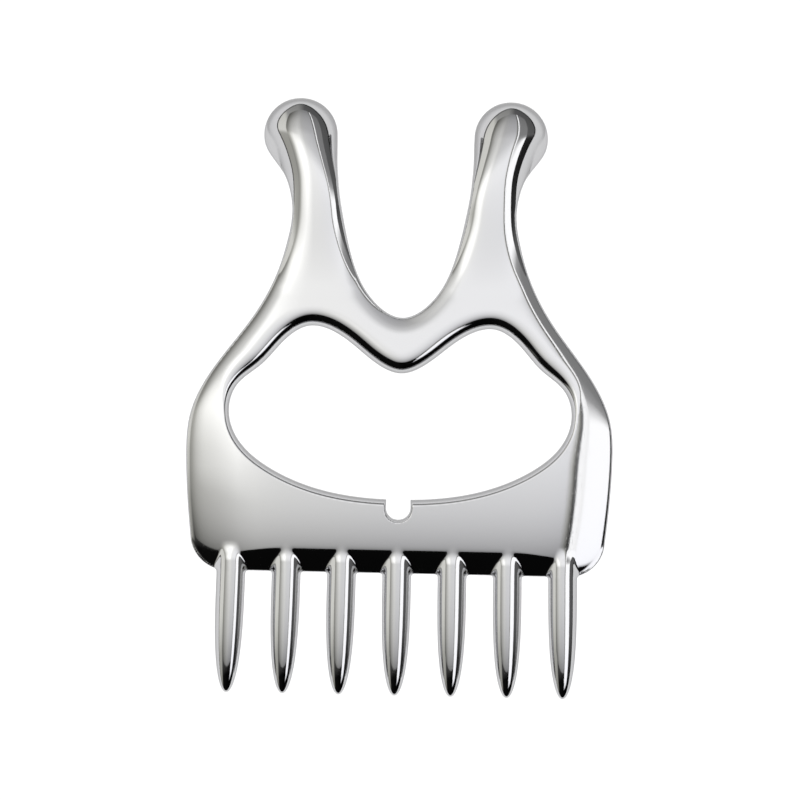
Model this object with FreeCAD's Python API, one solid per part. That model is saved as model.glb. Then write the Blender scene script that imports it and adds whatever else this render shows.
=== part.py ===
"""A one-piece polished metal comb with seven round teeth, a finger opening and two ball-ended horns.

Millimetres. The comb is drawn flat, mid-plane at z = 0, with its mirror plane at x = 0, its horns
towards +Y and its teeth towards -Y. It is then laid down: the balls are thicker than the plate, so
on a table it rests on both balls and on the teeth, with the horn end raised by a few degrees.
The casting is divided at its natural regions, and each region is one closed solid.
"""

import math
import os

import FreeCAD
import Part

V = FreeCAD.Vector

# Driving dimensions
PLATE_HALF = 3.3  # half the plate's thickness
OUTER_ROUND = 2.9  # rounding of the outer edges
OPENING_ROUND = 2.9  # rounding of the finger opening's edges
BALL_RADIUS = 7.3
BALL_X, BALL_Y = 20.9, 52.1
TOOTH_COUNT = 7
TOOTH_PITCH = 11.2
TOOTH_RADIUS = 2.88
TOOTH_TIP_Y = -59.4
TOOTH_ROOT_Y = -31.0  # where a tooth's round top sinks into the plate
TOOTH_POWER = 3.3  # how late a tooth tapers: r = R sqrt(1 - t^power)
BAR_BOTTOM_Y = -35.0
BAR_SIDE_X = 41.3
CORNER_RADIUS = 6.3
NOTCH_RADIUS = 2.4
NOTCH_CENTRE_Y = -21.8

# Where the casting is divided
BAR_TOP_Y = -14.0
ARM_TOP_Y = 8.0
ARM_INNER_X = 20.0
HORN_ROOT_Y = 18.0
NECK_Y = 37.0
REACH = 90.0  # past the comb on every side

# Half outlines, at x > 0; the other half is their mirror image
OUTER_SIDE = [
    (22.35, NECK_Y), (23.2, 31.0), (24.6, 26.0), (29.6, 16.0), (37.0, 6.0), (41.9, -4.0), (42.5, -12.0),
]
VALLEY = [(12.35, NECK_Y), (11.3, 32.0), (9.6, 26.0), (6.3, 20.0), (0.0, 16.15)]
OPENING = [
    (0.0, -20.2), (14.8, -18.7), (26.1, -14.2), (32.3, -8.7), (34.1, -3.7), (32.6, 2.1),
    (28.0, 6.1), (23.3, 11.2), (18.5, 14.1), (12.3, 12.4), (5.4, 7.2), (0.0, 5.0),
]

# A horn's oval sections, from inside the plate up into the ball: y, inner x, outer x, half thickness
HORN_SECTIONS = [
    (24.0, 8.7, 25.3, 3.3),
    (28.0, 10.2, 24.0, 4.0),
    (32.5, 11.4, 22.9, 4.7),
    (NECK_Y, 12.35, 22.35, 5.5),
    (41.0, 13.0, 22.9, 6.2),
    (44.0, 13.3, 24.7, 6.6),
    (47.0, 13.5, 27.1, 6.9),
    (50.5, 14.6, 27.2, 7.0),
]

# How the outlines set off: sideways travel for each unit along y
SIDE_TOP_LEAN = 0.05
SIDE_BOTTOM_LEAN = 0.1
NOTCH_DEPTH = 6.0  # from the round end's centre to past the opening's edge
TOOTH_STEPS = 10  # points along a tooth's flank
CONTACT_STEPS = 400  # places along a tooth that are tried as its resting point
TILT_ROUNDS = 20


def mirrored(points):
    """The points, followed by their mirror images on the way back, without the shared last one."""
    return points + [(-x, y) for x, y in reversed(points[:-1])]


def spline(points, start, end):
    """A smooth edge through the points, with a start and an end direction."""
    curve = Part.BSplineCurve()
    vectors = [V(x, y, 0) for x, y in points]
    curve.interpolate(Points=vectors, InitialTangent=V(*start, 0), FinalTangent=V(*end, 0))
    return curve.toShape()


def line(a, b):
    return Part.LineSegment(V(*a, 0), V(*b, 0)).toShape()


def corner(side):
    """The bar's lower corner on one side: a quarter arc, from the side down to the bottom edge."""
    centre_x, centre_y = BAR_SIDE_X - CORNER_RADIUS, BAR_BOTTOM_Y + CORNER_RADIUS
    middle = CORNER_RADIUS / math.sqrt(2)
    return Part.Arc(
        V(side * BAR_SIDE_X, centre_y, 0),
        V(side * (centre_x + middle), centre_y - middle, 0),
        V(side * centre_x, BAR_BOTTOM_Y, 0),
    ).toShape()


def outer_wire():
    """The comb's outline up to the necks: the sides, the corners, the bottom and the U between the horns."""
    corner_x = BAR_SIDE_X - CORNER_RADIUS
    side_points = OUTER_SIDE + [(BAR_SIDE_X, BAR_BOTTOM_Y + CORNER_RADIUS)]
    right = spline(side_points, (SIDE_TOP_LEAN, -1), (-SIDE_BOTTOM_LEAN, -1))
    left = spline([(-x, y) for x, y in side_points], (-SIDE_TOP_LEAN, -1), (SIDE_BOTTOM_LEAN, -1))
    valley = spline(mirrored(VALLEY), (-SIDE_TOP_LEAN, -1), (-SIDE_TOP_LEAN, 1))
    neck_outer, neck_inner = OUTER_SIDE[0], VALLEY[0]
    edges = [
        right,
        corner(1),
        line((corner_x, BAR_BOTTOM_Y), (-corner_x, BAR_BOTTOM_Y)),
        corner(-1),
        left,
        line((-neck_outer[0], NECK_Y), (-neck_inner[0], NECK_Y)),
        valley,
        line((neck_inner[0], NECK_Y), (neck_outer[0], NECK_Y)),
    ]
    return Part.Wire(Part.__sortEdges__(edges))


def slab(wire, half):
    """The wire's face, extruded to a slab of twice the half thickness about z = 0."""
    wire.translate(V(0, 0, -half))
    return Part.Face(wire).extrude(V(0, 0, 2 * half))


def level_edges(solid, half):
    """The edges that run round the slab's two flat faces."""
    return [
        edge
        for edge in solid.Edges
        if abs(abs(edge.CenterOfMass.z) - half) < 1e-6 and edge.BoundBox.ZLength < 1e-3
    ]


def plate():
    """The comb's plate up to the necks, with its outer edges rounded."""
    solid = slab(outer_wire(), PLATE_HALF)
    around = [edge for edge in level_edges(solid, PLATE_HALF) if abs(edge.CenterOfMass.y - NECK_Y) > 0.01]
    return solid.makeFillet(OUTER_ROUND, around)


def opening_cutter():
    """What the finger opening takes away."""
    loop = Part.BSplineCurve()
    loop.interpolate(Points=[V(x, y, 0) for x, y in mirrored(OPENING)[:-1]], PeriodicFlag=True)
    return slab(Part.Wire([loop.toShape()]), PLATE_HALF)


def horn_core(side):
    """One horn's oval core, which thickens from the plate up into the ball."""
    ovals = []
    for y, inner, outer, half in HORN_SECTIONS:
        across = (outer - inner) / 2
        oval = Part.Ellipse()
        oval.MajorRadius, oval.MinorRadius = max(across, half), min(across, half)
        edge = oval.toShape()
        if half > across:
            edge.rotate(V(0, 0, 0), V(0, 0, 1), 90)
        edge.rotate(V(0, 0, 0), V(1, 0, 0), 90)
        edge.translate(V((inner + outer) / 2, y, 0))
        ovals.append(Part.Wire([edge]))
    core = Part.makeLoft(ovals, True, False)
    return core if side > 0 else core.mirror(V(0, 0, 0), V(1, 0, 0))


def tooth_radius(t):
    """A tooth's radius at a share t of the way from the bar's bottom edge to the tip."""
    return TOOTH_RADIUS * math.sqrt(max(0.0, 1 - t**TOOTH_POWER))


def tooth(x):
    """One round tooth, from its root in the plate to its rounded tip."""
    length = BAR_BOTTOM_Y - TOOTH_TIP_Y
    profile = []
    for i in range(TOOTH_STEPS + 1):
        t = math.sin(math.pi / 2 * i / TOOTH_STEPS)  # closer together towards the tip
        profile.append((tooth_radius(t), BAR_BOTTOM_Y - t * length))
    flank = spline(profile, (0, -1), (-1, 0))
    root_points = [(TOOTH_RADIUS, BAR_BOTTOM_Y), (TOOTH_RADIUS, TOOTH_ROOT_Y), (0, TOOTH_ROOT_Y)]
    root = Part.makePolygon([V(*point, 0) for point in root_points + [(0, TOOTH_TIP_Y)]])
    face = Part.Face(Part.Wire(Part.__sortEdges__([flank] + root.Edges)))
    solid = face.revolve(V(0, 0, 0), V(0, 1, 0), 360)
    solid.translate(V(x, 0, 0))
    return solid


def block(x0, x1, y0, y1):
    """A region of the plan, through the whole thickness."""
    return Part.makeBox(x1 - x0, y1 - y0, 2 * REACH, V(x0, y0, -REACH))


def notch():
    """The small round-bottomed notch in the opening's lower edge."""
    height = 2 * PLATE_HALF
    round_end = Part.makeCylinder(NOTCH_RADIUS, height, V(0, NOTCH_CENTRE_Y, -PLATE_HALF))
    slot = Part.makeBox(2 * NOTCH_RADIUS, NOTCH_DEPTH, height, V(-NOTCH_RADIUS, NOTCH_CENTRE_Y, -PLATE_HALF))
    return round_end.fuse(slot)


def rounded_opening(solid):
    """The plate with the finger opening cut, its edges rounded, and the notch cut after them."""
    cut = solid.cut(opening_cutter())
    at_opening = [
        edge
        for edge in level_edges(cut, PLATE_HALF)
        if edge.BoundBox.YMax < HORN_ROOT_Y and edge.BoundBox.YMin > NOTCH_CENTRE_Y
    ]
    return cut.makeFillet(OPENING_ROUND, at_opening).cut(notch())


def resting_tilt():
    """The angle of a line that touches a ball and the teeth from below."""
    tilt = 0.0
    for _ in range(TILT_ROUNDS):
        reaches = []
        for i in range(CONTACT_STEPS + 1):
            t = i / CONTACT_STEPS
            y = BAR_BOTTOM_Y + t * (TOOTH_TIP_Y - BAR_BOTTOM_Y)
            reaches.append((tooth_radius(t) * math.cos(tilt) - y * math.sin(tilt), y))
        reach, touch_y = max(reaches)
        centre_drop = reach + touch_y * math.sin(tilt)
        tilt = math.asin((BALL_RADIUS - centre_drop) / (BALL_Y - touch_y))
    return tilt


def laid_down(solid, tilt):
    """The solid tilted onto its balls and teeth, with the table at z = 0 and y = 0 halfway along."""
    solid = solid.copy()
    solid.rotate(V(0, 0, 0), V(1, 0, 0), math.degrees(tilt))
    top_y = BALL_Y * math.cos(tilt) + BALL_RADIUS
    bottom_y = TOOTH_TIP_Y * math.cos(tilt)
    solid.translate(V(0, -(top_y + bottom_y) / 2, BALL_RADIUS - BALL_Y * math.sin(tilt)))
    return solid


def regions():
    """Each named region of the casting, as one solid, drawn flat."""
    teeth_x = [(i - (TOOTH_COUNT - 1) / 2) * TOOTH_PITCH for i in range(TOOTH_COUNT)]
    teeth = [tooth(x) for x in teeth_x]
    body = rounded_opening(plate())
    found = {}
    bar = body.common(block(-REACH, REACH, BAR_BOTTOM_Y, BAR_TOP_Y))
    roots = [each.common(block(-REACH, REACH, BAR_BOTTOM_Y, BAR_TOP_Y)) for each in teeth]
    found["tooth_bar"] = bar.fuse(roots)
    column = block(-ARM_INNER_X, ARM_INNER_X, BAR_TOP_Y, HORN_ROOT_Y)
    shelf = block(-REACH, REACH, ARM_TOP_Y, HORN_ROOT_Y)
    found["horn_bridge"] = body.common(column.fuse(shelf))
    for name, side in (("left", -1), ("right", 1)):
        low, high = sorted((side * ARM_INNER_X, side * REACH))
        found[name + "_arm"] = body.common(block(low, high, BAR_TOP_Y, ARM_TOP_Y))
        low, high = sorted((0, side * REACH))
        core = horn_core(side)
        found[name + "_horn"] = body.fuse(core).common(block(low, high, HORN_ROOT_Y, NECK_Y))
        ball = Part.makeSphere(BALL_RADIUS, V(side * BALL_X, BALL_Y, 0))
        found[name + "_ball"] = core.common(block(low, high, NECK_Y, REACH)).fuse(ball)
    for number, each in enumerate(teeth, 1):
        found[f"tooth_{number}"] = each.common(block(-REACH, REACH, -REACH, BAR_BOTTOM_Y))
    return found


os.makedirs("parts", exist_ok=True)
tilt = resting_tilt()
for name, shape in regions().items():
    solids = shape.Solids
    print(name, len(solids), "solid", round(shape.Volume, 1), "mm3, valid:", shape.isValid())
    laid_down(solids[0] if len(solids) == 1 else shape, tilt).exportStep(f"parts/{name}.step")
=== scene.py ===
"""The looks of a polished one-piece metal comb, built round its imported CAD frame.

The comb is one casting, so its skin is one smooth surface: its upper half is a height over the plan,
its lower half is the mirror image, and both come from one formula in millimetres. That skin is cut at
the casting's natural regions into closed pieces, one for each CAD node, whose normals agree across
every cut, so that no seam shows in the mirror finish.
"""

import math

import bmesh
import bpy
import numpy as np
from mathutils import Matrix, Vector


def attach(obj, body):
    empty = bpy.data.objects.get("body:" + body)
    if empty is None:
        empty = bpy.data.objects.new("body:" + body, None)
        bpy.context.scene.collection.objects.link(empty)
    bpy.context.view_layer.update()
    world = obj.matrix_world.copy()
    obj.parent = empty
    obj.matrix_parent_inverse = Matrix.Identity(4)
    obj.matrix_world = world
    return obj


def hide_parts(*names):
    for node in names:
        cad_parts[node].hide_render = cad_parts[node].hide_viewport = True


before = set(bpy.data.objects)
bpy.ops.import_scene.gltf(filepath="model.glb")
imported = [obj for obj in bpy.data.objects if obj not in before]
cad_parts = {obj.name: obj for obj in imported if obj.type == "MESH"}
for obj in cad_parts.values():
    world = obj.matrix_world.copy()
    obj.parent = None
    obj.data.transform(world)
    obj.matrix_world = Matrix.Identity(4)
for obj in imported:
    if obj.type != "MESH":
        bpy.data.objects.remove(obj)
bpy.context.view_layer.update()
MM = 0.001

# ---------------------------------------------------------------------------------------------
# The comb's shape, in millimetres, drawn flat: mid-plane z = 0, mirror plane x = 0, horns to +Y
# ---------------------------------------------------------------------------------------------
BALL_RADIUS = 7.3
BALL_X, BALL_Y = 20.9, 52.1
BAR_HALF, HORN_HALF = 4.4, 3.5  # half thickness of the bar's middle, and of the horns' roots
RISE_START_Y, RIDGE_TOP = 20.0, 7.26  # where a horn's face starts to climb to its ball, and how far
TOOTH_COUNT, TOOTH_PITCH, TOOTH_RADIUS = 7, 11.2, 2.88
TOOTH_TIP_Y, TOOTH_POWER = -59.4, 3.3
TOOTH_FAN = 0.17  # how much closer together the teeth stand at their roots than at their tips
BAR_BOTTOM_Y, CORNER_RADIUS = -35.0, 6.3
NOTCH_RADIUS, NOTCH_CENTRE_Y = 2.4, -21.8
NOTCH_OPEN_Y, NOTCH_FAR = -10.0, 9.0  # inside the opening the notch's slot ends, and counts as far off
# How far in from its line an edge rounds over
OPENING_ROLL, OPENING_LIP_ROLL, NOTCH_ROLL = 4.6, 1.1, 0.5  # the opening's top, its lower lip, the notch
RIM_ROLL, NECK_ROLL, BALL_ROLL = 0.3, 0.45, 1.2  # the outline, on the plate, the necks and the balls
# The bevel along a side: its slope, and its reach and softness on the bar and on the horns
SIDE_SLOPE, SIDE_REACH, SIDE_SOFTNESS = 0.21, (9.0, 2.3), (2.2, 0.5)
SIDE_FLARE, SIDE_FLARE_LENGTH = 0.3, 3.0
# The sharper bevel along the bar's bottom, and how it turns up round the bar's corners
BEVEL_SLOPE, BEVEL_SOFTNESS, BEVEL_WIDTH, WRAP_RADIUS = 0.28, 0.35, 4.4, 8.0
CROWN, CROWN_LENGTH = 2.6, 10.0  # how much the bar thins towards its bottom
VALLEY_SLOPE, VALLEY_SOFTNESS, VALLEY_REACH = 0.2, 0.5, 2.3  # the bevel between the horns
RIM_DROP, LEAST_HALF = 0.35, 0.5  # the last drop at an outline, and the least half thickness
ROOT_FILLET, ROOT_FILLET_INSIDE = 4.0, 1.2  # how a tooth joins the bar, at its bottom and further in
NECK_Y = 37.0
# Stretches along y over which one shape turns into another
BAR_TO_HORN, LIP_TO_TOP = (-14.0, 12.0), (-4.0, 8.0)
PLATE_TO_HORN, NECK_TO_FLARE, NECK_TO_BALL = (22.0, NECK_Y), (NECK_Y, 43.0), (43.0, 50.0)
# Distances above the bar's bottom over which a tooth's fillet narrows, and its root melts away
FILLET_NARROWS, ROOT_MELTS = (0.5, 3.5), (2.2, 6.2)

SIDE = [
    (26.1, 57.2), (27.9, 54.2), (28.2, 52.1), (27.9, 50.0), (26.1, 47.0), (24.0, 44.0), (22.9, 41.0),
    (22.35, NECK_Y), (23.2, 31.0), (24.6, 26.0), (29.6, 16.0), (37.0, 6.0), (41.9, -4.0), (42.5, -12.0),
    (41.3, -28.7), (39.3, -45.0),
]
VALLEY = [
    (0.0, 16.15), (6.3, 20.0), (9.6, 26.0), (11.3, 32.0), (12.35, NECK_Y), (13.0, 41.0), (13.3, 44.0),
    (13.5, 47.0), (13.6, 52.1), (13.9, 54.2), (15.7, 57.2),
]
OPENING = [
    (0.0, -20.2), (14.8, -18.7), (26.1, -14.2), (32.3, -8.7), (34.1, -3.7), (32.6, 2.1),
    (28.0, 6.1), (23.3, 11.2), (18.5, 14.1), (12.3, 12.4), (5.4, 7.2), (0.0, 5.0),
]
# A horn's face from root to tip: y, the ridge's x, how far from the ridge the face turns 45 degrees,
# and how square its section is (2 is an ellipse)
HORN_FACE = [
    (22.0, 17.1, 6.8, 3.2), (30.0, 17.15, 5.7, 3.1), (35.0, 17.3, 4.95, 3.0), (39.8, 17.54, 4.55, 2.9),
    (43.8, 18.06, 4.3, 2.6), (47.0, 18.8, 4.35, 2.35), (50.0, 19.65, 4.65, 2.15), (53.0, 20.5, 5.1, 2.05),
    (56.0, 20.85, 5.3, 2.0), (60.0, 20.9, 5.3, 2.0),
]
# The flare around a ball and its neck, as squared height: linear, quadratic, and the most it climbs to
FLARE_RISE, FLARE_BEND, FLARE_CAP = 2.5, 2.0, 22.0
# The planes that divide the casting into its nodes
BAR_TOP_Y, ARM_TOP_Y, ARM_INNER_X, HORN_ROOT_Y, FAR = -14.0, 8.0, 20.0, 18.0, 90.0

CELL = 0.25  # the mesh's spacing
HALF_X, HALF_Y, HALF_Z = 43.5, 60.5, 8.0  # the grid that the skin is found on
MARGIN = 2.0  # how much of the skin around a region is taken before it is cut


class Spline:
    """A natural cubic spline through rows of values at rising places t."""

    def __init__(self, t, values):
        self.t, self.p = np.array(t, float), np.array(values, float)
        h = np.diff(self.t)[:, None]
        n = len(self.p)
        matrix = np.eye(n)
        right = np.zeros(self.p.shape)
        for i in range(1, n - 1):
            matrix[i, i - 1 : i + 2] = h[i - 1, 0], 2 * (h[i - 1, 0] + h[i, 0]), h[i, 0]
            right[i] = 6 * ((self.p[i + 1] - self.p[i]) / h[i] - (self.p[i] - self.p[i - 1]) / h[i - 1])
        self.bend = np.linalg.solve(matrix, right)

    def at(self, t):
        """The values at t, with the first and second derivatives."""
        i = np.clip(np.searchsorted(self.t, t, side="right") - 1, 0, len(self.t) - 2)
        h = (self.t[i + 1] - self.t[i])[:, None]
        a = (self.t[i + 1] - t)[:, None]
        b = (t - self.t[i])[:, None]
        m0, m1, p0, p1 = self.bend[i], self.bend[i + 1], self.p[i], self.p[i + 1]
        point = (m0 * a**3 + m1 * b**3) / (6 * h) + (p0 / h - m0 * h / 6) * a + (p1 / h - m1 * h / 6) * b
        first = (m1 * b**2 - m0 * a**2) / (2 * h) + (p1 - p0) / h - (m1 - m0) * h / 6
        second = (m0 * a + m1 * b) / h
        return point, first, second


class Curve(Spline):
    """A smooth plan curve through a few points, and how far any point is from it."""

    SAMPLES = 200
    NEWTON_STEPS = 4
    BATCH = 20000  # points handled at once, to bound the memory

    def __init__(self, points):
        gaps = np.linalg.norm(np.diff(np.array(points, float), axis=0), axis=1)
        super().__init__(np.concatenate([[0], np.cumsum(gaps)]), points)
        self.coarse_t = np.linspace(0, self.t[-1], self.SAMPLES)
        self.coarse = self.at(self.coarse_t)[0]

    def distance(self, q):
        """Signed distance of each point of q, positive on the curve's left."""
        t = np.empty(len(q))
        for s in range(0, len(q), self.BATCH):
            part = q[s : s + self.BATCH]
            gap = (part[:, None, 0] - self.coarse[None, :, 0]) ** 2
            gap += (part[:, None, 1] - self.coarse[None, :, 1]) ** 2
            t[s : s + self.BATCH] = self.coarse_t[gap.argmin(1)]
        step = self.coarse_t[1]
        low, high = np.clip(t - step, 0, self.t[-1]), np.clip(t + step, 0, self.t[-1])
        for _ in range(self.NEWTON_STEPS):
            point, first, second = self.at(t)
            away = q - point
            slope = (first * away).sum(1)
            rate = (second * away).sum(1) - (first**2).sum(1)
            t = np.clip(t - slope / np.where(rate < -1e-6, rate, -1e-6), low, high)
        point, first, _ = self.at(t)
        away = q - point
        side = first[:, 0] * away[:, 1] - first[:, 1] * away[:, 0]
        return np.sign(side) * np.linalg.norm(away, axis=1)


def mirrored_ends(points):
    """The right half of a symmetric curve, carried a little past the mirror plane at either end."""
    start = [(-x, y) for x, y in reversed(points[1:4])] if points[0][0] == 0 else []
    end = [(-x, y) for x, y in reversed(points[-4:-1])] if points[-1][0] == 0 else []
    return start + points + end


side_curve = Curve(SIDE)
valley_curve = Curve(mirrored_ends(VALLEY))
opening_curve = Curve(mirrored_ends(OPENING))
horn_face = Spline([row[0] for row in HORN_FACE], [row[1:] for row in HORN_FACE])


def ease(x, start, end):
    t = np.clip((x - start) / (end - start), 0, 1)
    return t * t * (3 - 2 * t)


def between(start, end, share):
    return start + (end - start) * share


def bevel(depth, slope, reach, softness):
    """How far a soft bevel has dropped at some depth inside its edge."""
    return slope * softness * soft_ramp((reach - depth) / softness)


def soft_ramp(x):
    """max(x, 0) with a rounded corner about one unit wide."""
    return np.logaddexp(0, x)


def soft_max(a, b, width):
    """The larger of a and b, with a rounded change-over."""
    share = np.clip(0.5 + (a - b) / (2 * width), 0, 1)
    return b + (a - b) * share + width * share * (1 - share)


def roll(depth, reach):
    """How a round edge lifts the squared height: 0 on the outline, 1 from reach inwards."""
    t = np.clip(1 - depth / reach, 0, 2)
    return 1 - t**2.5


def plate_field(x, y):
    """The plate's squared half thickness: crowned, bevelled towards its outline, round at the opening."""
    q = np.stack([x, y], 1)
    side = -side_curve.distance(q)
    valley = -valley_curve.distance(q)
    opening = -opening_curve.distance(q)
    bottom = y - BAR_BOTTOM_Y
    # the outline, with its rounded lower corner
    corner_y = BAR_BOTTOM_Y + CORNER_RADIUS
    to_corner = CORNER_RADIUS - np.hypot(side - CORNER_RADIUS, y - corner_y)
    in_corner = (side < CORNER_RADIUS) & (y < corner_y)
    outline = np.where(in_corner, to_corner, np.minimum(side, bottom))
    side_in, bottom_in, valley_in = (np.maximum(d, 0) for d in (side, bottom, valley))
    # the bottom bevel turns up round the corner and runs out at the side
    turn_y = BAR_BOTTOM_Y + BEVEL_WIDTH + WRAP_RADIUS
    from_turn = np.hypot(np.maximum(WRAP_RADIUS - side_in, 0), np.maximum(turn_y - y, 0))
    wrapped = BEVEL_WIDTH + WRAP_RADIUS - from_turn + np.maximum(y - turn_y, 0)
    # soft bevels, wide on the bar and narrow on the horns
    upwards = ease(y, *BAR_TO_HORN)
    reach = between(*SIDE_REACH, upwards)
    softness = between(*SIDE_SOFTNESS, upwards)
    from_side = bevel(side_in, SIDE_SLOPE, reach, softness)
    from_side += SIDE_FLARE * np.exp(-side_in / SIDE_FLARE_LENGTH)
    from_bottom = bevel(wrapped, BEVEL_SLOPE, BEVEL_WIDTH, BEVEL_SOFTNESS)
    from_valley = bevel(valley_in, VALLEY_SLOPE, VALLEY_REACH, VALLEY_SOFTNESS)
    bevels = (from_side**4 + from_bottom**4 + from_valley**4) ** 0.25
    crown = CROWN * np.exp(-bottom_in / CROWN_LENGTH)
    rims = RIM_DROP * (np.exp(-np.maximum(outline, 0)) + np.exp(-valley_in))
    middle = between(BAR_HALF, HORN_HALF, upwards) + ridge_rise(y)
    height = soft_max(middle - crown - bevels - rims, LEAST_HALF, 0.3)
    inner_roll = between(OPENING_LIP_ROLL, OPENING_ROLL, ease(y, *LIP_TO_TOP))
    edges = [roll(outline, RIM_ROLL), roll(valley, RIM_ROLL), roll(opening, inner_roll)]
    # the notch in the opening's lower edge
    slot = np.where(y > NOTCH_CENTRE_Y, np.abs(x), np.hypot(x, y - NOTCH_CENTRE_Y)) - NOTCH_RADIUS
    edges.append(roll(np.where(y > NOTCH_OPEN_Y, NOTCH_FAR, slot), NOTCH_ROLL))
    worst = np.minimum.reduce(edges)
    lift = np.prod(np.maximum(edges, 0), axis=0)
    outside = np.maximum(-np.minimum.reduce([outline, valley, opening]), 0)
    plate = height**2 * np.where(worst < 0, worst, lift) - 3 * outside
    horn = horn_field(x, y, np.minimum(side, valley))
    return between(plate, horn, ease(y, *PLATE_TO_HORN)), bottom


def ridge_rise(y):
    """How far a horn's ridge has climbed towards its ball."""
    return (RIDGE_TOP - HORN_HALF) * ease(y, RISE_START_Y, BALL_Y)


def horn_field(x, y, depth):
    """The squared half thickness of a horn and its ball, from the distance inside its outline."""
    y = np.maximum(y, RISE_START_Y)
    depth = np.where(y > BALL_Y, BALL_RADIUS - np.hypot(x - BALL_X, y - BALL_Y), depth)
    ridge, reach, power = horn_face.at(y)[0].T
    height = HORN_HALF + ridge_rise(y)
    # the nose: beyond the ball's middle the face shrinks to the tip
    past = np.clip((y - BALL_Y) / BALL_RADIUS, 0, 0.9999)  # short of 1, where the nose would be 0
    nose = np.sqrt(1 - past**2)
    # the fall from the ridge that makes the face turn 45 degrees at reach
    a, b = (power / 2) ** 2 * reach ** (2 * power - 2), reach**power
    fall = (np.sqrt(b * b + 4 * a * height**2) - b) / (2 * a)
    face = nose * (height**2 - fall * (np.abs(x - ridge) / nose) ** power)
    rim = between(NECK_ROLL, BALL_ROLL, ease(y, *NECK_TO_BALL))
    face = np.where(face > 0, face * np.maximum(roll(depth, rim), 0), np.maximum(face, -40))
    flare = FLARE_RISE * depth + FLARE_BEND * np.maximum(depth, 0) ** 2
    flare = FLARE_CAP * (1 - np.exp(-np.maximum(flare, -5) / FLARE_CAP)) * ease(y, *NECK_TO_FLARE)
    width = between(0.05, 3.0, ease(depth, 0, 1.2))  # no rounding at the outline, where both are 0
    return np.where(depth > 0, soft_max(face, flare, width), np.minimum(4 * depth, face))


def tooth_field(x, y):
    """The squared half thickness of the row of round teeth."""
    last = (TOOTH_COUNT - 1) / 2
    nearest = np.clip(np.round(x / TOOTH_PITCH + last), 0, TOOTH_COUNT - 1) - last
    t = np.clip((BAR_BOTTOM_Y - y) / (BAR_BOTTOM_Y - TOOTH_TIP_Y), 0, 1.2)
    across = x - nearest * (TOOTH_PITCH - TOOTH_FAN * (1 - np.minimum(t, 1)))
    taper = 1 - t**TOOTH_POWER
    return TOOTH_RADIUS**2 * taper - across**2


def squared_height(x, y):
    """The comb's half thickness squared at each plan point, negative outside its outline."""
    x = np.abs(x)
    body, bottom = plate_field(x, y)
    fillet = between(ROOT_FILLET, ROOT_FILLET_INSIDE, ease(bottom, *FILLET_NARROWS))
    joined = soft_max(body, tooth_field(x, y), fillet)
    return between(joined, body, ease(bottom, *ROOT_MELTS))


def skin():
    """The whole comb as a closed mesh of quads: its vertices and its faces."""
    xs = np.arange(-HALF_X, HALF_X + CELL, CELL)
    ys = np.arange(-HALF_Y, HALF_Y + CELL, CELL)
    zs = np.arange(-HALF_Z - CELL / 2, HALF_Z + CELL, CELL)
    gx, gy = np.meshgrid(xs, ys, indexing="ij")
    plan = squared_height(gx.ravel(), gy.ravel()).reshape(gx.shape)
    field = (plan[:, :, None] - zs[None, None, :] ** 2).astype(np.float32)
    inside = field > 0
    nx, ny, nz = (n - 1 for n in field.shape)
    total = np.zeros((nx, ny, nz, 3), np.float32)
    count = np.zeros((nx, ny, nz), np.float32)
    for axis in range(3):
        low = [slice(None)] * 3
        high = [slice(None)] * 3
        low[axis], high[axis] = slice(0, -1), slice(1, None)
        a, b = field[tuple(low)], field[tuple(high)]
        crossing = (a > 0) != (b > 0)
        share = np.where(crossing, a / np.where(crossing, a - b, 1), 0)
        others = [k for k in range(3) if k != axis]
        for i in (0, 1):
            for j in (0, 1):
                pick = [slice(None)] * 3
                pick[others[0]] = slice(i, i + (nx, ny, nz)[others[0]])
                pick[others[1]] = slice(j, j + (nx, ny, nz)[others[1]])
                hit = crossing[tuple(pick)]
                total[..., axis] += share[tuple(pick)] * hit
                total[..., others[0]] += i * hit
                total[..., others[1]] += j * hit
                count += hit
    active = count > 0
    number = np.full(active.shape, -1, np.int64)
    number[active] = np.arange(active.sum())
    cells = np.argwhere(active)
    place = cells + total[active] / count[active][:, None]
    verts = place * CELL + np.array([xs[0], ys[0], zs[0]])
    faces = []
    for axis in range(3):
        low = [slice(1, -1)] * 3
        high = [slice(1, -1)] * 3
        low[axis], high[axis] = slice(0, -1), slice(1, None)
        a, b = inside[tuple(low)], inside[tuple(high)]
        at = np.argwhere(a != b)
        outward = a[tuple(at.T)]
        u, v = (axis + 1) % 3, (axis + 2) % 3
        base = at.copy()
        base[:, [k for k in range(3) if k != axis]] += 1
        corners = []
        for du, dv in ((0, 0), (-1, 0), (-1, -1), (0, -1)):
            c = base.copy()
            c[:, u] += du
            c[:, v] += dv
            corners.append(number[tuple(c.T)])
        quad = np.stack(corners, 1)
        quad[~outward] = quad[~outward][:, ::-1]
        faces.append(quad)
    return verts, np.concatenate(faces)


def gradient(p):
    """The field's value and gradient at each point."""
    step = 0.01
    x, y, z = p.T
    g = squared_height(x, y)
    gx = (squared_height(x + step, y) - squared_height(x - step, y)) / (2 * step)
    gy = (squared_height(x, y + step) - squared_height(x, y - step)) / (2 * step)
    return g - z * z, np.stack([gx, gy, -2 * z], 1)


def settled(verts):
    """The vertices, moved onto the surface."""
    for _ in range(2):
        value, slope = gradient(verts)
        move = -value / np.maximum((slope**2).sum(1), 1e-3)
        reach = np.linalg.norm(slope, axis=1) * np.abs(move)
        move *= np.minimum(1, 0.6 * CELL / np.maximum(reach, 1e-9))
        verts = verts + slope * move[:, None]
    return verts


def outward(verts):
    _, slope = gradient(verts)
    return -slope / np.maximum(np.linalg.norm(slope, axis=1), 1e-9)[:, None]


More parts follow.
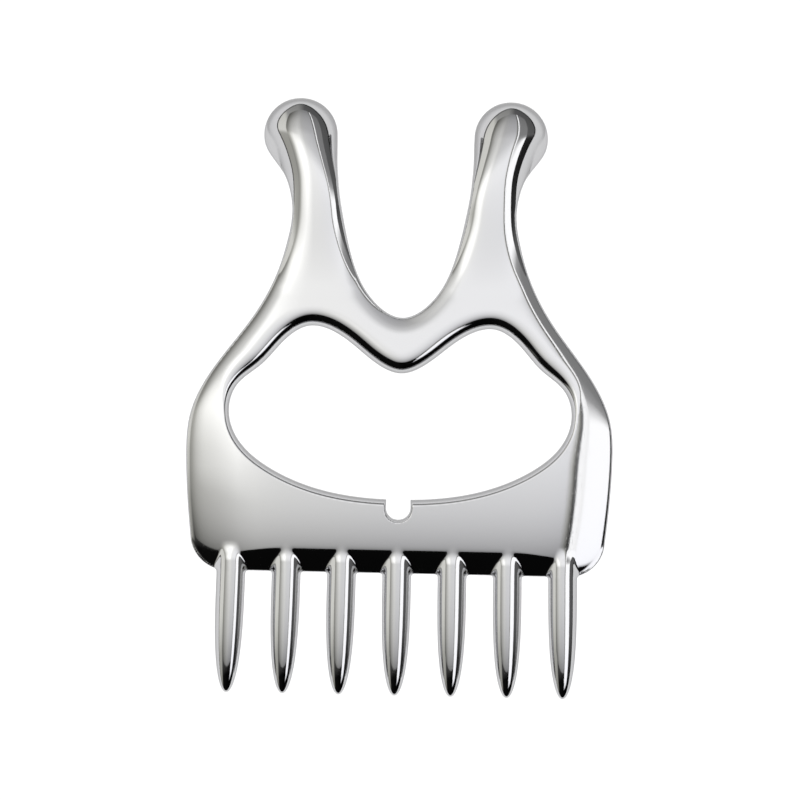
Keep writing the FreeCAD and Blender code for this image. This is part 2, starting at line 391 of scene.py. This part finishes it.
# ---------------------------------------------------------------------------------------------
# Pieces
# ---------------------------------------------------------------------------------------------
def resting():
    """The matrix that lays the flat comb on its balls and teeth, in metres."""
    t = np.linspace(0, 1, 401)
    radius = TOOTH_RADIUS * np.sqrt(1 - t**TOOTH_POWER)
    y = BAR_BOTTOM_Y + t * (TOOTH_TIP_Y - BAR_BOTTOM_Y)
    tilt = 0.0
    for _ in range(20):
        i = np.argmax(radius * math.cos(tilt) - y * math.sin(tilt))
        drop = radius[i] * math.cos(tilt) - y[i] * math.sin(tilt) + y[i] * math.sin(tilt)
        tilt = math.asin((BALL_RADIUS - drop) / (BALL_Y - y[i]))
    top = BALL_Y * math.cos(tilt) + BALL_RADIUS
    bottom = TOOTH_TIP_Y * math.cos(tilt)
    move = Vector((0, -(top + bottom) / 2, BALL_RADIUS - BALL_Y * math.sin(tilt)))
    return Matrix.Scale(MM, 4) @ Matrix.Translation(move) @ Matrix.Rotation(tilt, 4, "X")


def regions():
    """Each node's boxes in the flat plan: x0, x1, y0, y1."""
    found = {
        "tooth_bar": [(-FAR, FAR, BAR_BOTTOM_Y, BAR_TOP_Y)],
        "horn_bridge": [
            (-ARM_INNER_X, ARM_INNER_X, BAR_TOP_Y, ARM_TOP_Y),
            (-FAR, FAR, ARM_TOP_Y, HORN_ROOT_Y),
        ],
    }
    for name, low, high in (("left", -FAR, 0), ("right", 0, FAR)):
        arm = (-FAR, -ARM_INNER_X) if low < 0 else (ARM_INNER_X, FAR)
        found[name + "_arm"] = [(*arm, BAR_TOP_Y, ARM_TOP_Y)]
        found[name + "_horn"] = [(low, high, HORN_ROOT_Y, NECK_Y)]
        found[name + "_ball"] = [(low, high, NECK_Y, FAR)]
    for i in range(TOOTH_COUNT):
        x = (i - (TOOTH_COUNT - 1) / 2) * TOOTH_PITCH
        found[f"tooth_{i + 1}"] = [(x - TOOTH_PITCH / 2, x + TOOTH_PITCH / 2, -FAR, BAR_BOTTOM_Y)]
    return found


def cut_out(verts, faces, boxes):
    """The part of the skin over the boxes, closed with flat faces on the cuts."""
    mesh = bmesh.new()
    middle = verts[faces].mean(1)
    near = np.zeros(len(faces), bool)
    for x0, x1, y0, y1 in boxes:
        in_x = (middle[:, 0] > x0 - MARGIN) & (middle[:, 0] < x1 + MARGIN)
        in_y = (middle[:, 1] > y0 - MARGIN) & (middle[:, 1] < y1 + MARGIN)
        near |= in_x & in_y
    used, index = np.unique(faces[near], return_inverse=True)
    index = index.reshape(-1, 4)
    made = [mesh.verts.new(v) for v in verts[used]]
    for face in index:
        mesh.faces.new([made[i] for i in face])
    x0s, x1s, y0s, y1s = zip(*boxes)
    planes = [(0, min(x0s), -1), (0, max(x1s), 1), (1, min(y0s), -1), (1, max(y1s), 1)]
    for axis, at, sign in planes:
        needless = abs(at) >= FAR or (axis == 0 and at == 0)  # nothing of the horns is at the mirror plane
        if not needless:
            bisect(mesh, axis, at, sign, clear=True)
            close(mesh)
    if len(boxes) == 2:  # the bridge: drop its two lower outer corners, which belong to the arms
        lower = boxes[0]
        for sign in (-1, 1):
            drop_corner(mesh, sign * lower[1], lower[3], sign)
    loose = [v for v in mesh.verts if not v.link_faces]
    bmesh.ops.delete(mesh, geom=loose, context="VERTS")
    return mesh


def bisect(mesh, axis, at, sign, clear):
    """Cuts every face where it crosses a plane, and clears what is beyond the plane if asked."""
    normal = [0, 0, 0]
    normal[axis] = sign
    point = [0, 0, 0]
    point[axis] = at
    geom = mesh.verts[:] + mesh.edges[:] + mesh.faces[:]
    bmesh.ops.bisect_plane(mesh, geom=geom, dist=1e-6, plane_co=point, plane_no=normal, clear_outer=clear)


def close(mesh):
    """Fills the open rims with flat faces."""
    rim = [e for e in mesh.edges if e.is_boundary]
    bmesh.ops.holes_fill(mesh, edges=rim, sides=0)


def drop_corner(mesh, x, y, sign):
    """Cuts away what lies below y and beyond x."""
    for axis, at in ((0, x), (1, y)):
        bisect(mesh, axis, at, 1, clear=False)
    gone = []
    for face in mesh.faces:
        c = face.calc_center_median()
        if c.y < y and c.x * sign > x * sign:
            gone.append(face)
    bmesh.ops.delete(mesh, geom=gone, context="FACES")
    close(mesh)


def piece(name, mesh, place, material):
    """A Blender object of the cut-out region, laid down, with the surface's own normals."""
    mesh.normal_update()
    data = bpy.data.meshes.new(name)
    mesh.to_mesh(data)
    mesh.free()
    flat = np.empty(len(data.vertices) * 3)
    data.vertices.foreach_get("co", flat)
    flat = flat.reshape(-1, 3)
    smooth = outward(flat)
    loops = np.empty(len(data.loops), np.int32)
    data.loops.foreach_get("vertex_index", loops)
    normals = smooth[loops]
    for polygon in data.polygons:
        n = np.array(polygon.normal)
        span = slice(polygon.loop_start, polygon.loop_start + polygon.loop_total)
        along_cut = np.abs(n).max() > 0.9999 and abs(n[2]) < 0.5
        if along_cut and (normals[span] @ n).min() < 0.3:  # a cut's closing face stays flat
            normals[span] = n
    data.transform(place)
    turn = np.array(place.to_3x3()) / MM
    data.shade_smooth()
    data.normals_split_custom_set((normals @ turn.T).tolist())
    data.materials.append(material)
    made = bpy.data.objects.new(name, data)
    bpy.context.scene.collection.objects.link(made)
    return made


# ---------------------------------------------------------------------------------------------
# Materials
# ---------------------------------------------------------------------------------------------
def new_material(name):
    material = bpy.data.materials.new(name)
    material.use_nodes = True
    nodes = material.node_tree.nodes
    return material, nodes, material.node_tree.links, nodes["Principled BSDF"]


def texture(nodes, links, coords, scale, detail, turn=0.0):
    """Object-space noise, stretched by a scale for each axis."""
    mapping = nodes.new("ShaderNodeMapping")
    mapping.inputs["Rotation"].default_value = (0, 0, turn)
    mapping.inputs["Scale"].default_value = scale
    links.new(coords.outputs["Object"], mapping.inputs["Vector"])
    noise = nodes.new("ShaderNodeTexNoise")
    noise.inputs["Scale"].default_value = 1
    noise.inputs["Detail"].default_value = detail
    links.new(mapping.outputs["Vector"], noise.inputs["Vector"])
    return noise.outputs["Fac"]


def spread(nodes, links, source, low, high, start, end):
    """The part of source between low and high, mapped to start..end."""
    node = nodes.new("ShaderNodeMapRange")
    node.inputs["From Min"].default_value = low
    node.inputs["From Max"].default_value = high
    node.inputs["To Min"].default_value = start
    node.inputs["To Max"].default_value = end
    links.new(source, node.inputs["Value"])
    return node.outputs["Result"]


def summed(nodes, links, a, b):
    node = nodes.new("ShaderNodeMath")
    links.new(a, node.inputs[0])
    links.new(b, node.inputs[1])
    return node.outputs[0]


def polished_metal():
    """Mirror-bright nickel or chrome: soft haze, fine hairlines both ways, and a faintly uneven polish."""
    material, nodes, links, shader = new_material("polished_metal")
    shader.inputs["Base Color"].default_value = (0.55, 0.55, 0.558, 1)
    shader.inputs["Specular Tint"].default_value = (0.5, 0.5, 0.5, 1)
    shader.inputs["Metallic"].default_value = 1
    coords = nodes.new("ShaderNodeTexCoord")
    haze = texture(nodes, links, coords, (60, 60, 60), 4)
    haze = spread(nodes, links, haze, 0.35, 0.7, 0.05, 0.08)
    along = texture(nodes, links, coords, (5500, 160, 5500), 1, 0.12)
    across = texture(nodes, links, coords, (140, 5000, 5000), 1, -0.3)
    along = spread(nodes, links, along, 0.66, 0.74, 0, 1)
    across = spread(nodes, links, across, 0.68, 0.76, 0, 1)
    hairlines = summed(nodes, links, along, across)
    scuffed = spread(nodes, links, hairlines, 0, 1, 0, 0.06)
    links.new(summed(nodes, links, haze, scuffed), shader.inputs["Roughness"])
    uneven = texture(nodes, links, coords, (420, 420, 420), 3)
    lowered = spread(nodes, links, hairlines, 0, 1, 0, -0.25)
    bump = nodes.new("ShaderNodeBump")
    bump.inputs["Strength"].default_value = 1
    bump.inputs["Distance"].default_value = 0.000003  # 3 thousandths of a millimetre
    links.new(summed(nodes, links, uneven, lowered), bump.inputs["Height"])
    links.new(bump.outputs["Normal"], shader.inputs["Normal"])
    return material


def floor_material():
    material, nodes, links, shader = new_material("pale_floor")
    shader.inputs["Base Color"].default_value = (0.90, 0.90, 0.90, 1)
    shader.inputs["Emission Color"].default_value = (1, 1, 1, 1)
    shader.inputs["Emission Strength"].default_value = 0.9
    shader.inputs["Roughness"].default_value = 0.9
    shader.inputs["Specular IOR Level"].default_value = 0.1
    return material


# ---------------------------------------------------------------------------------------------
# Build
# ---------------------------------------------------------------------------------------------
metal = polished_metal()
place = resting()
verts, faces = skin()
verts = settled(verts)
print("skin", len(verts), len(faces))
for name, boxes in regions().items():
    made = piece(name + "_skin", cut_out(verts, faces, boxes), place, metal)
    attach(made, "root")
    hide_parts(name)

# ---------------------------------------------------------------------------------------------
# Studio
# ---------------------------------------------------------------------------------------------
scene = bpy.context.scene
scene.view_settings.view_transform = "Standard"

FLOOR_HALF = 3
floor_mesh = bpy.data.meshes.new("floor")
corners = [(-1, -1), (1, -1), (1, 1), (-1, 1)]
floor_mesh.from_pydata([(x * FLOOR_HALF, y * FLOOR_HALF, 0) for x, y in corners], [], [(0, 1, 2, 3)])
floor = bpy.data.objects.new("floor", floor_mesh)
scene.collection.objects.link(floor)
floor_mesh.materials.append(floor_material())


def grey(v, warm=0.0):
    """A grey of value v, a little cream if warm is above 0 and a little blue if it is below."""
    return (v * (1 + 0.4 * warm), v * (1 + 0.3 * warm), v * (1 - 0.7 * warm), 1)


def ramp_node(tree, source, stops):
    """A colour ramp on source, from a list of (position, colour)."""
    node = tree.nodes.new("ShaderNodeValToRGB")
    tree.links.new(source, node.inputs["Fac"])
    first, last = node.color_ramp.elements
    first.position, first.color = stops[0]
    last.position, last.color = stops[-1]
    for position, colour in stops[1:-1]:
        node.color_ramp.elements.new(position).color = colour
    return node.outputs["Color"]


def mixed(tree, how, a, b):
    """Two colours multiplied or added."""
    node = tree.nodes.new("ShaderNodeMix")
    node.data_type, node.blend_type = "RGBA", how
    node.clamp_result = False
    node.inputs["Factor"].default_value = 1
    tree.links.new(a, node.inputs[6])
    tree.links.new(b, node.inputs[7])
    return node.outputs[2]


def card(name, x0, x1, y0, y1, layers, strength):
    """A level light card over the comb, seen only in reflections.

    Its layers, each graded along x and along y, are added up.
    """
    mesh = bpy.data.meshes.new(name)
    plan = [(x0, y0), (x1, y0), (x1, y1), (x0, y1)]
    mesh.from_pydata([(x, y, CARD_Z) for x, y in plan], [], [(0, 1, 2, 3)])
    made = bpy.data.objects.new(name, mesh)
    scene.collection.objects.link(made)
    material = bpy.data.materials.new(name)
    material.use_nodes = True
    tree = material.node_tree
    tree.nodes.clear()
    out = tree.nodes.new("ShaderNodeOutputMaterial")
    glow = tree.nodes.new("ShaderNodeEmission")
    glow.inputs["Strength"].default_value = strength
    coords = tree.nodes.new("ShaderNodeTexCoord")
    split = tree.nodes.new("ShaderNodeSeparateXYZ")
    tree.links.new(coords.outputs["Generated"], split.inputs[0])
    total = None
    for x_stops, y_stops in layers:
        across = ramp_node(tree, split.outputs["X"], [((x - x0) / (x1 - x0), c) for x, c in x_stops])
        along = ramp_node(tree, split.outputs["Y"], [((y - y0) / (y1 - y0), c) for y, c in y_stops])
        layer = mixed(tree, "MULTIPLY", across, along)
        total = mixed(tree, "ADD", total, layer) if total else layer
    tree.links.new(total, glow.inputs["Color"])
    tree.links.new(glow.outputs[0], out.inputs[0])
    mesh.materials.append(material)
    made.visible_camera = False
    made.visible_diffuse = False
    made.visible_shadow = False


# The cards hang level over the comb, side by side: a graded one over its left and middle, then after a
# dark gap a bright streak and a card out to the right. The ramps' colours stay under 1, and a card's
# strength carries the rest.
CARD_Z = 0.160
LEFT_X, GAP_X, STREAK_X0, STREAK_X1, RIGHT_X = -0.22, 0.087, 0.092, 0.106, 0.250
OVERHEAD_Y, STREAK_Y, RIGHT_Y, BACK_Y = -0.125, -0.16, -0.22, 0.25
ALONG = [
    (OVERHEAD_Y, grey(0.10)), (-0.100, grey(0.19)), (-0.083, grey(0.25)), (-0.061, grey(0.32)),
    (-0.036, grey(0.39)), (-0.003, grey(0.45)), (0.010, grey(0.45)), (0.035, grey(0.31)),
    (0.076, grey(0.22)), (0.212, grey(0.12)), (BACK_Y, grey(0.11)),
]
ACROSS = [
    (LEFT_X, grey(0.3, 0.1)), (-0.17, grey(0.42, 0.08)), (-0.12, grey(0.56, 0.06)),
    (-0.04, grey(0.82, 0.03)), (0.0, grey(0.8)), (0.072, grey(0.8, -0.02)), (0.080, grey(0.5, 0.05)),
    (GAP_X, grey(0.05, 0.2)),
]
GLARE_ALONG = [
    (-0.06, grey(0.02)), (-0.03, grey(0.25)), (0.0, grey(0.38)), (0.02, grey(0.32)), (0.04, grey(0.16)),
    (0.09, grey(0.12)), (0.17, grey(0.02)),
]
GLARE_ACROSS = [(-0.18, grey(0)), (-0.12, grey(0.45, 0.02)), (-0.06, grey(0.5, 0.02)), (-0.025, grey(0))]
EVEN = [(STREAK_Y, grey(1)), (BACK_Y, grey(1))]
STREAK_ACROSS = [(STREAK_X0, grey(1)), (STREAK_X1, grey(0.8))]
RIGHT_ACROSS = [(STREAK_X1, grey(1)), (RIGHT_X, grey(1))]
RIGHT_ALONG = [
    (RIGHT_Y, grey(0.2, -0.03)), (-0.18, grey(0.9, -0.03)), (-0.14, grey(0.97, -0.03)),
    (-0.01, grey(1.0)), (0.015, grey(0.3)), (0.04, grey(0.2)), (BACK_Y, grey(0.15)),
]
overhead = [(ACROSS, ALONG), (GLARE_ACROSS, GLARE_ALONG)]
card("overhead_card", LEFT_X, GAP_X, OVERHEAD_Y, BACK_Y, overhead, 4.13)
card("right_streak", STREAK_X0, STREAK_X1, STREAK_Y, BACK_Y, [(STREAK_ACROSS, EVEN)], 1.87)
card("right_card", STREAK_X1, RIGHT_X, RIGHT_Y, BACK_Y, [(RIGHT_ACROSS, RIGHT_ALONG)], 1.81)

world = bpy.data.worlds.new("studio")
scene.world = world
world.use_nodes = True
world.cycles_visibility.diffuse = False
tree = world.node_tree
coords = tree.nodes.new("ShaderNodeTexCoord")
split = tree.nodes.new("ShaderNodeSeparateXYZ")
tree.links.new(coords.outputs["Generated"], split.inputs[0])


def halved(socket):
    """A direction's component, from -1..1 to 0..1."""
    node = tree.nodes.new("ShaderNodeMapRange")
    node.inputs["From Min"].default_value = -1
    tree.links.new(socket, node.inputs["Value"])
    return node.outputs["Result"]


# The sky's brightness along each axis, from 0 at one end of the axis to 1 at the other; UPWARDS starts
# at the horizon. It is dark towards the front, and lighter on the left.
SIDEWAYS = [(0.0, grey(1.0, 0.04)), (0.4, grey(0.9, 0.03)), (0.6, grey(0.35)), (1.0, grey(0.25))]
FORWARDS = [(0.25, grey(0.004)), (0.38, grey(0.1)), (0.45, grey(0.45)), (0.6, grey(0.42)), (1, grey(0.3))]
LEFTWARDS = [(0.0, grey(0.34, 0.1)), (0.10, grey(0.31, 0.1)), (0.15, grey(0)), (1.0, grey(0))]
UPWARDS = [(0.0, grey(0.0)), (0.05, grey(0.02)), (0.10, grey(0.9)), (1, grey(1))]
forwards = ramp_node(tree, halved(split.outputs["Y"]), FORWARDS)
upwards = ramp_node(tree, split.outputs["Z"], UPWARDS)
sky = mixed(tree, "MULTIPLY", forwards, ramp_node(tree, halved(split.outputs["X"]), SIDEWAYS))
sky = mixed(tree, "ADD", sky, ramp_node(tree, halved(split.outputs["X"]), LEFTWARDS))
sky = mixed(tree, "MULTIPLY", sky, upwards)
tree.links.new(sky, tree.nodes["Background"].inputs["Color"])
tree.nodes["Background"].inputs["Strength"].default_value = 1.5

lamp = bpy.data.lights.new("floor_wash", "SUN")
lamp.energy = 0.6
lamp.angle = 1.2
wash = bpy.data.objects.new("floor_wash", lamp)
wash.visible_glossy = False
scene.collection.objects.link(wash)

# The camera looks straight down
camera_data = bpy.data.cameras.new("camera")
camera = bpy.data.objects.new("camera", camera_data)
scene.collection.objects.link(camera)
CAMERA_HEIGHT = 1.2
ROLL = math.radians(-1.22)
camera_data.sensor_width = 36
FRAME_WIDTH = 0.1594  # what the picture spans at the comb's mid-plane
camera_data.lens = camera_data.sensor_width * (CAMERA_HEIGHT - 0.005) / FRAME_WIDTH
camera.location = (-0.0001, -0.0003, CAMERA_HEIGHT)
camera.rotation_euler = (0, 0, -ROLL)
scene.camera = camera
